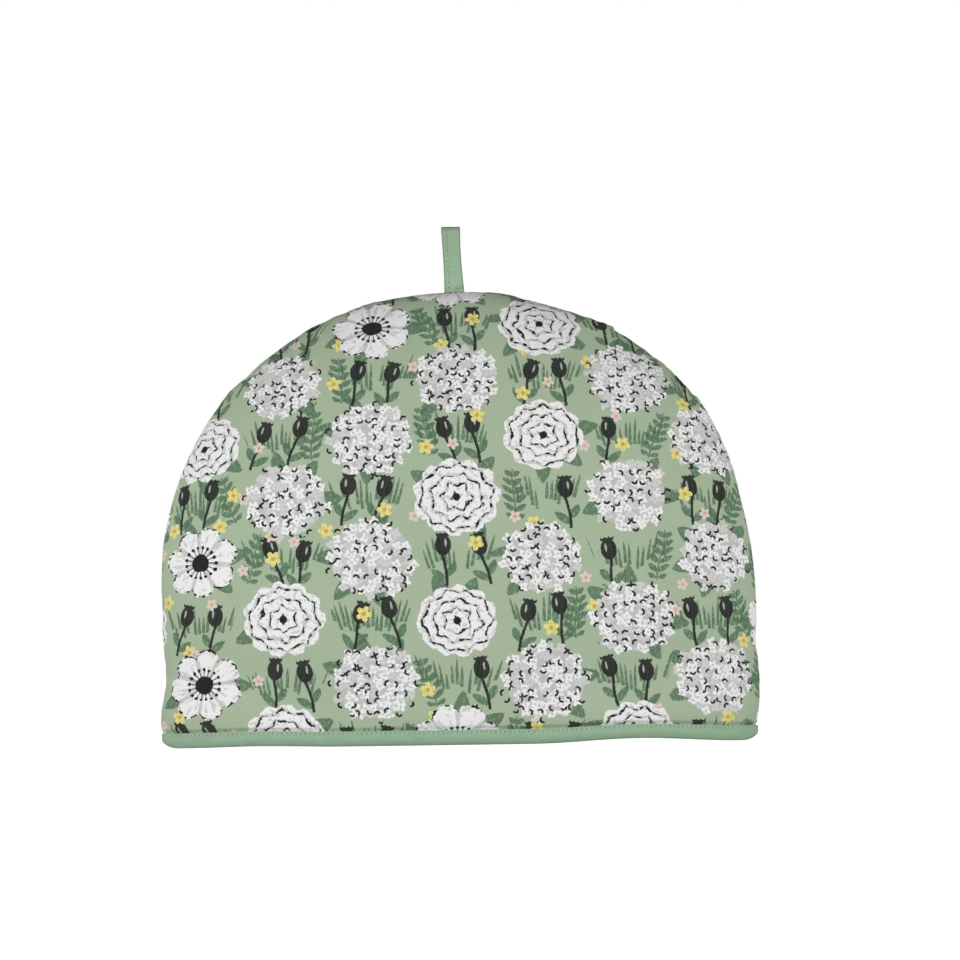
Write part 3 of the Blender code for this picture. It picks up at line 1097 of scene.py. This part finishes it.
def leaves_behind(x, y, radius, cell):
    """Broad leaves that show round a bloom's edge, and their middle veins, as distances."""
    sweep = turn_of(x, y) * (LEAVES_BEHIND / TURN) + cell.first * LEAVES_BEHIND
    bearing = (fraction(sweep) - 0.5) * (TURN / LEAVES_BEHIND)
    reach = bloom_reach(x, y)
    present, longer, _ = chances(floor_of(sweep), cell.second * 97.0, 4.0)
    along = reach * cosine(bearing)
    across = abs(reach * sine(bearing))
    tip = radius + 5.0 + longer * 3.5
    half_width = lens(highest(along / tip, 0.0), 4.9, 0.7)
    leaf = highest(across - half_width, along - tip) + over(0.61, present) * NOWHERE
    return leaf, highest(across - 0.3, leaf + 0.8)


def pen_hooks(u, v, x, y, radius):
    """Short hooked pen strokes, strewn over a bloom and a little past its edge, as a distance."""
    hook = scatter(u + 31.0, v, HOOK_PITCH)
    stroke = abs(length_of(hook.x, hook.y) - 1.5) - 0.6
    facing = cosine(turn_of(hook.x, hook.y) - hook.chance * TURN)
    near = bloom_reach(x - hook.x, y - hook.y) - radius - 0.8
    return highest(highest(stroke, 0.1 - facing), near) + over(hook.other, 0.7) * NOWHERE


def round_head(colour, u, v, x, y, radius, dabs):
    """A round head of four-petalled florets."""
    floret = scatter(u, v, FLORET_PITCH)
    off_head = bloom_reach(x - floret.x, y - floret.y) - radius
    reach = length_of(floret.x, floret.y)
    lobes = 0.78 + 0.22 * cosine(turn_of(floret.x, floret.y) * 4.0 + floret.chance * TURN)
    colour = mixed(colour, DEEP_GREY_INK, inked(bloom_reach(x, y) - radius + 2.0))
    tone = mixed(WHITE_INK, GREY_INK, highest(over(floret.other, 0.72), over(dabs, 0.57)))
    colour = mixed(colour, tone, inked(highest(reach - 3.25 * lobes, off_head)))
    colour = mixed(colour, DEEP_GREY_INK, inked(highest(reach - 0.6, off_head)))
    return mixed(colour, CHARCOAL, inked(pen_hooks(u, v, x, y, radius)))


def open_flower(colour, u, v, x, y, radius, cell, dabs):
    """An open flower of broad brushed petals with a dark heart and a ring of beads."""
    reach = bloom_reach(x, y)
    bearing = turn_of(x, y) + cell.third * TURN
    wobble = cloud(u, v, 7.0, 12.0) - 0.5
    rough = cloud(u, v, 1.7, 13.0) - 0.5
    lobes = abs(cosine(bearing * 3.5))
    petals = reach - radius * (0.76 + 0.27 * power(lobes, 0.5)) - wobble * 4.0 - rough * 2.2
    streaks = cloud(bearing * 7.0, reach * 0.12, 1.0, 14.0)
    tone = mixed(WHITE_INK, GREY_INK, highest(over(streaks, 0.6), over(dabs, 0.62)))
    folds = lobes * (0.6 + 0.09 * reach) - 0.5 - wobble
    tone = mixed(tone, DEEP_GREY_INK, inked(folds) * 0.8)
    heart = reach - 5.2 - wobble * 2.5
    sweep = abs(fraction(bearing / (TURN / BEADS)) - 0.5) * (TURN / BEADS)
    beads = length_of(reach - BEAD_RING - wobble * 3.5, sweep * BEAD_RING) - 0.95
    threads = highest(sweep * reach - 0.28, abs(reach - 6.6) - 2.0)
    outline = highest(abs(petals + 0.6) - 0.68, (0.5 - cloud(u, v, 3.1, 17.0)) * 8.0)
    dark = lowest(lowest(heart, beads), lowest(threads, highest(outline, petals - 0.3)))
    return mixed(mixed(colour, tone, inked(petals)), CHARCOAL, inked(dark))


def ruffled_flower(colour, u, v, x, y, radius, cell, dabs):
    """A full flower of many short petals, ring inside ring, with broken pen lines between the rings."""
    wobble = cloud(u, v, 6.0, 18.0) - 0.5
    rough = cloud(u, v, 1.7, 15.0) - 0.5
    reach = bloom_reach(x, y) + wobble * 4.4 + rough
    bearing = turn_of(x, y) + cell.first * TURN
    ring_width = radius / 4.0
    ring = floor_of(reach / ring_width)
    scallop = abs(sine(bearing * (2.0 + ring) + ring * 1.3))
    within = fraction(reach / ring_width - 0.4 + scallop * 0.4)
    petals = reach - radius * (0.9 + 0.1 * abs(sine(bearing * 5.5))) - rough * 1.6
    tone = mixed(WHITE_INK, GREY_INK, highest(over(0.34, within), over(dabs, 0.58)))
    tone = mixed(tone, DEEP_GREY_INK, over(0.13, within) * 0.8)
    broken = cloud(u, v, 3.4, 19.0)
    line = highest((abs(within - 0.07) + 0.1 - broken * 0.42) * ring_width, (0.47 - broken) * 8.0)
    dark = highest(lowest(line, length_of(x, y) - 2.2), petals)
    return mixed(mixed(colour, tone, inked(petals)), CHARCOAL, inked(dark))


def seed_heads(gap, across, share, seed):
    """A dark seed head with a frilled crown on a curved stem with two leaves, in a share of the gaps."""
    one, other, third = chances(gap.second * 91.0, gap.third * 83.0, seed)
    flip = over(gap.first, 0.5) * 2.0 - 1.0
    x = gap.x * flip - across + (one - 0.5) * 4.0
    y = gap.y - 2.0 + other * 5.0
    x, y = turned(x, y, 0.3 - third * 0.6)
    absent = over(fraction(third * 31.0), share) * NOWHERE
    head = length_of(x / 4.6, (y - 6.0) / 6.0) * SEED_HEAD - SEED_HEAD
    crown = highest(abs(y - 12.4 + 0.8 * abs(cosine(x * 1.2))) - 0.85, abs(x) - 3.9)
    bend = x - 1.6 * sine((y + 2.0) * 0.13)
    stem = highest(abs(bend) - 0.85, abs(y + 8.0) - 9.5)
    shine = length_of((x + 1.5) / 0.6, (y - 7.2) / 2.3) - 1.0
    right_leaf = leaf_shape(bend, y + 15.0, 0.85, 11.0, 2.3)
    left_leaf = leaf_shape(bend * -1.0, y + 12.0, 0.7, 10.0, 2.1)
    shapes = lowest(lowest(head, crown), stem), shine, lowest(right_leaf, left_leaf)
    return [shape + absent for shape in shapes]


def sprigs(gap, across):
    """A slender stem with pairs of lance-shaped leaves, leaning left or right, in a part of the gaps."""
    flip = over(gap.first, 0.5) * 2.0 - 1.0
    x = gap.x * flip - across
    y = gap.y + 2.0 - gap.second * 5.0
    x, y = turned(x, y, 0.5 - gap.third * 1.5)
    bend = abs(x - 1.8 * sine(y * 0.12))
    stem = highest(bend - 0.5, abs(y) - 14.5)
    step = floor_of((y + 15.0) / LEAFLET_PITCH)
    local = y + 15.0 - step * LEAFLET_PITCH
    along = (bend * 0.82 + local * 0.57) / (9.2 - abs(step - 2.0) * 1.2)
    across_leaf = abs(bend * 0.57 - local * 0.82 + 0.4)
    leaves = highest(across_leaf - lens(along, 1.6, 0.8), abs(y) - 13.6)
    return lowest(stem, leaves) + over(gap.third, 0.62) * NOWHERE


def blossoms(colour, u, v, radius, share, seed, petal_ink, heart_ink):
    """Small open blossoms of five petals, scattered so that only a share of the cells holds one."""
    width, height = COLUMN * 0.6, REPEAT * 0.4
    cell = half_drop(u, v, width, height, seed)
    x = cell.x - (cell.first - 0.5) * (width - 2.6 * radius)
    y = cell.y - (cell.second - 0.5) * (height - 2.6 * radius)
    reach = length_of(x, y)
    bearing = turn_of(x, y) + cell.first * TURN
    rim = radius * (0.5 + 0.5 * power(abs(cosine(bearing * 2.5)), 0.8))
    absent = over(cell.third, share) * NOWHERE
    colour = mixed(colour, petal_ink, inked(reach - rim + absent))
    tint = mixed(heart_ink, OCHRE, fraction(cell.third * 37.0))
    return mixed(colour, tint, inked(reach - radius * 0.26 + absent))


def print_colour(u, v, ridge):
    """The colour of the printed cloth at a place on it. Dark inks lie thin between the weave's ridges."""
    wander = cloud(u, v, SHAKE_SIZE, 2.0) - 0.5
    drift = cloud(u, v, SHAKE_SIZE, 3.0) - 0.5
    u, v = u + wander * SHAKE, v + drift * SHAKE
    cell = staggered(u, v, COLUMN, REPEAT, 1.0)
    x = cell.x - (cell.second - 0.5) * BLOOM_STRAY_X
    y = cell.y - (cell.third - 0.5) * BLOOM_STRAY_Y
    radius = BLOOM_RADIUS + cell.first * BLOOM_SPREAD
    brushed = cloud(u, v * 0.4, 1.1, 5.0, 1.0)
    hold = 0.66 + ridge * 0.42 - over(brushed, 0.6) * 0.25

    colour = mixed(GROUND, GROUND_GREEN, cloud(u, v, 42.0, 6.0))
    leaf_tone = mixed(LEAF, PALE_LEAF, over(brushed, 0.57) * 0.7)
    gap = staggered(u, v + REPEAT / 2, COLUMN, REPEAT, 40.0)
    leaf, vein = leaves_behind(x, y, radius, cell)
    for greenery in (blades(gap.x, gap.y - 2.0, gap.first, 41.0), sprigs(gap, SPRIG_ACROSS), leaf):
        colour = mixed(colour, leaf_tone, inked(greenery) * hold)
    colour = mixed(colour, PALE_LEAF, inked(vein))
    for place in SEED_HEADS:
        dark, shine, pair = seed_heads(gap, place.across, place.share, place.seed)
        colour = mixed(colour, leaf_tone, inked(pair) * hold)
        colour = mixed(colour, CHARCOAL, inked(dark) * (0.9 + ridge * 0.1))
        colour = mixed(colour, DEEP_GREY_INK, inked(shine) * 0.8)
    yellow = mixed(YELLOW, PALE_YELLOW, over(brushed, 0.5))
    colour = blossoms(colour, u, v + 20.0, 4.6, 0.42, 51.0, yellow, OCHRE)
    colour = blossoms(colour, u + 11.0, v + 5.0, 3.5, 0.34, 61.0, PINK, ROSE)

    dabs = cloud(u, v, 2.6, 8.0, 3.0)
    kind = fraction(cell.first * 13.0 + cell.second * 7.0)
    bloom = round_head(colour, u, v, x, y, radius, dabs)
    for draw, kinds_from in ((open_flower, OPEN_FROM), (ruffled_flower, RUFFLED_FROM)):
        bloom = mixed(bloom, draw(colour, u, v, x, y, radius, cell, dabs), over(kind, kinds_from))
    return bloom


# ---- The materials ----

BACK_CUT = (131.0, 26.0)  # how far along and up the same cloth the back panel is cut
TWILL_PITCH = 1.09
TWILL_THREAD = 0.6
TAPE_THREAD = 0.62
NEEDLE_HOLE = 0.32  # a needle hole's radius, in millimetres
THREAD_TWIST = 0.45 * MM


def open_tree(owner):
    """Gives a material or a world its nodes, and makes their tree the one that is being made."""
    owner.use_nodes = True
    Field.tree = owner.node_tree
    return Field.tree.nodes


def start_material(name):
    material = bpy.data.materials.new(name)
    return material, open_tree(material)["Principled BSDF"]


def marked(name):
    """The three numbers that the mesh holds at each point under a name."""
    return parts_of(add_node("ShaderNodeAttribute", attribute_name=name).outputs["Vector"])


def waves(along, pitch):
    """Ridges at a pitch, from 0 to 1."""
    return sine(along * (TURN / pitch)) * 0.5 + 0.5


def twill(u, v):
    """The height of a twill weave, from 0 to 1: fine ridges that climb to the right."""
    wander = (cloud(u, v, 6.0, 71.0) - 0.5) * 0.5
    ridge = waves(u - v + wander, TWILL_PITCH * math.sqrt(2))
    return ridge * 0.75 + waves(u + v, TWILL_THREAD * math.sqrt(2)) * 0.25


def plain_weave(u, v, pitch):
    """The height of a plain weave, from 0 to 1."""
    return sine(u * (TURN / pitch)) * sine(v * (TURN / pitch)) * 0.5 + 0.5


def finish_material(shader, colour, height, strength, depth_mm, roughness, sheen):
    """Sets a cloth's colour, its relief from a height of 0 to 1, and its dry, slightly downy finish."""
    bump = add_node("ShaderNodeBump", {"Strength": strength, "Distance": depth_mm * MM, "Height": height})
    finish = {
        "Base Color": colour,
        "Normal": Field(bump.outputs["Normal"]),
        "Roughness": roughness,
        "Specular IOR Level": 0.25,
        "Sheen Weight": sheen,
        "Sheen Roughness": 0.5,
    }
    for name, value in finish.items():
        feed(shader.inputs[name], value)


def make_printed_cotton():
    material, shader = start_material("printed_cotton")
    u, v, cut = marked("cloth")
    weave = twill(u, v)
    slubs = cloud(u * 0.3, v * 2.0, 2.4, 81.0)
    colour = print_colour(u + cut * BACK_CUT[0], v + cut * BACK_CUT[1], weave)
    # Painted shade: darker in the weave's valleys and lighter on its ridges; the slubs add random tone.
    colour = shaded(colour, 0.83 + weave * 0.28 + slubs * 0.06)
    finish_material(shader, colour, weave * 0.8 + slubs * 0.4, 0.55, 0.09, 0.88, 0.12)
    return material


def make_plain_inside():
    material, shader = start_material("cotton_reverse")
    u, v, _ = marked("cloth")
    weave = twill(u, v)
    faded = mixed(linear(190, 197, 178), linear(205, 208, 196), cloud(u, v, 24.0, 91.0))
    # Painted shade: darker in the weave's valleys and lighter on its ridges.
    finish_material(shader, shaded(faded, 0.94 + weave * 0.1), weave, 0.5, 0.09, 0.92, 0.1)
    return material


def make_plain_tape():
    material, shader = start_material("plain_tape")
    u, v, folded = marked("cloth")
    weave = plain_weave(u, v, TAPE_THREAD)
    slubs = cloud(u * 0.25, v * 2.5, 2.0, 95.0)
    colour = mixed(linear(138, 168, 141), linear(160, 187, 158), cloud(u, v, 7.0, 93.0, 4.0))
    # Painted shade: darker near the loop's folded edges, where they turn away from the light.
    colour = mixed(colour, linear(114, 130, 119), folded * 0.9)
    # Painted shade: darker in the weave's valleys and lighter on its ridges; the slubs add random tone.
    colour = shaded(colour, 0.92 + weave * 0.07 + slubs * 0.1)
    stitches, off_row, pitch = marked("sewing")
    off_hole = (fraction(stitches + 0.5) - 0.5) * pitch
    hole = inked(length_of(off_hole, off_row) - NEEDLE_HOLE)
    # Painted shade: the needle holes are drawn dark, for the shade inside them.
    colour = mixed(colour, linear(70, 92, 74), hole * 0.85)
    finish_material(shader, colour, weave * 0.7 + slubs * 0.5 - hole, 0.5, 0.07, 0.86, 0.12)
    return material


def make_thread():
    material, shader = start_material("cotton_thread")
    x, y, z = parts_of(add_node("ShaderNodeNewGeometry").outputs["Position"])
    twist = waves(x + y + z, THREAD_TWIST)
    # Painted shade: darker in the grooves of the thread's twist and lighter on its crests.
    colour = mixed(linear(176, 199, 174), linear(204, 220, 198), twist)
    finish_material(shader, colour, twist, 0.4, 0.04, 0.7, 0.1)
    return material


# ---- The studio ----

FRAME_PX = 960
PX = 340.0 * MM / 598  # a pixel of the photo at the seam's plane
HEM_MIDDLE_PX = (460.2, 744.0)
ROLL = math.radians(0.83)  # the cosy leans this much to the left in the photo
CAMERA_DISTANCE = 5.0
CAMERA_ELEVATION = math.radians(-1.2)
SENSOR = 36.0
WHITE = (1.0, 1.0, 1.0)
WORLD_STRENGTH = 0.05
FLOOR_REACH = 12.0
FLOOR_TONE = 0.3
FLOOR_GLOW = 1.0

# Two low softboxes in front and one behind.
SOFTBOXES = table(
    "name width height power_w place aim",
    ("left_softbox", 1.0, 0.3, 12.55, (-1.0, -0.8, 0.23), (0.0, 0.0, 0.14)),
    ("right_softbox", 0.9, 0.3, 11.3, (0.99, -0.81, 0.16), (0.0, 0.0, 0.13)),
    ("back_softbox", 1.2, 0.3, 16.0, (0.0, 1.3, 0.19), (0.0, 0.0, 0.14)),
)


def make_camera():
    """A long lens, level with the hem, framed as the photo is."""
    off_x = (FRAME_PX / 2 - HEM_MIDDLE_PX[0]) * PX
    off_z = (HEM_MIDDLE_PX[1] - FRAME_PX / 2) * PX
    c, s = math.cos(ROLL), math.sin(ROLL)
    aim = Vector((off_x * c + off_z * s, 0.0, off_z * c - off_x * s))
    data = bpy.data.cameras.new("camera")
    data.sensor_width = SENSOR
    data.lens = SENSOR * CAMERA_DISTANCE / (FRAME_PX * PX)
    data.clip_start = 0.1
    data.clip_end = 50.0
    camera = bpy.data.objects.new("camera", data)
    back = Vector((0.0, -math.cos(CAMERA_ELEVATION), math.sin(CAMERA_ELEVATION)))
    camera.location = aim + back * CAMERA_DISTANCE
    turn = (-back).to_track_quat("-Z", "Y") @ Euler((0.0, 0.0, -ROLL)).to_quaternion()
    camera.rotation_euler = turn.to_euler()
    bpy.context.scene.collection.objects.link(camera)
    bpy.context.scene.camera = camera


def make_light(box):
    data = bpy.data.lights.new(box.name, "AREA")
    data.shape = "RECTANGLE"
    data.size = box.width
    data.size_y = box.height
    data.energy = box.power_w
    light = bpy.data.objects.new(box.name, data)
    light.location = box.place
    light.rotation_euler = (Vector(box.aim) - Vector(box.place)).to_track_quat("-Z", "Y").to_euler()
    light.visible_camera = False
    bpy.context.scene.collection.objects.link(light)


def shader_of(kind, inputs):
    return Field(add_node(kind, inputs).outputs[0])


def shown_to_camera(around, shown):
    """One shader for the light that goes round the scene, another for what the camera sees directly."""
    direct = Field(add_node("ShaderNodeLightPath").outputs["Is Camera Ray"])
    return shader_of("ShaderNodeMixShader", {0: direct, 1: around, 2: shown})


def make_world():
    """Weak white light all round, and plain white behind the cosy."""
    world = bpy.data.worlds.new("studio")
    bpy.context.scene.world = world
    nodes = open_tree(world)
    around = nodes["Background"]
    feed(around.inputs["Color"], WHITE)
    feed(around.inputs["Strength"], WORLD_STRENGTH)
    behind = shader_of("ShaderNodeBackground", {"Color": WHITE, "Strength": 1.0})
    surface = shown_to_camera(Field(around.outputs[0]), behind)
    feed(nodes["World Output"].inputs["Surface"], surface)


def make_floor():
    """A plain pale floor that the cosy stands on, as white to the camera as what is behind it."""
    mesh = bpy.data.meshes.new("floor")
    r = FLOOR_REACH
    mesh.from_pydata([(-r, -r, 0), (r, -r, 0), (r, r, 0), (-r, r, 0)], [], [(0, 1, 2, 3)])
    floor = bpy.data.objects.new("floor", mesh)
    material, shader = start_material("floor")
    feed(shader.inputs["Base Color"], (FLOOR_TONE, FLOOR_TONE, FLOOR_TONE))
    feed(shader.inputs["Roughness"], 0.9)
    feed(shader.inputs["Specular IOR Level"], 0.0)
    no_glow = shader_of("ShaderNodeEmission", {"Strength": 0.0})
    glow = shader_of("ShaderNodeEmission", {"Strength": FLOOR_GLOW})
    lit = Field(shader.outputs["BSDF"])
    both = shader_of("ShaderNodeAddShader", {0: lit, 1: shown_to_camera(no_glow, glow)})
    feed(Field.tree.nodes["Material Output"].inputs["Surface"], both)
    mesh.materials.append(material)
    bpy.context.scene.collection.objects.link(floor)


def make_studio():
    bpy.context.scene.view_settings.view_transform = "Standard"
    # The weave is finer than what the denoiser's own smoothing of colours leaves standing.
    bpy.context.scene.cycles.denoising_prefilter = "NONE"
    make_camera()
    make_world()
    for box in SOFTBOXES:
        make_light(box)
    make_floor()


# ---- Putting it together ----


def dress(piece, node):
    """The piece rides on the only body, and stands for a solid if it has one."""
    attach(piece, "root")
    if node:
        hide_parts(node)


def main():
    make_studio()
    seam_height = PANEL_FOOT + outline_radius(math.pi / 2)
    printed, plain = make_printed_cotton(), make_plain_inside()
    tape, thread = make_plain_tape(), make_thread()
    front = make_cover("front_cover", FRONT, printed, plain)
    back = make_cover("back_cover", BACK, printed, plain)
    dress(front, "front_panel")
    dress(back, "back_panel")
    stations, length = hem_stations()
    dress(make_binding("hem_tape", tape, stations, length), "hem_binding")
    dress(make_hem_stitches("hem_stitches", thread, stations, length), None)
    dress(make_loop("loop_tape", tape, seam_height), "hanging_loop")
    dress(make_loop_stitches("loop_stitches", thread, seam_height), None)


main()
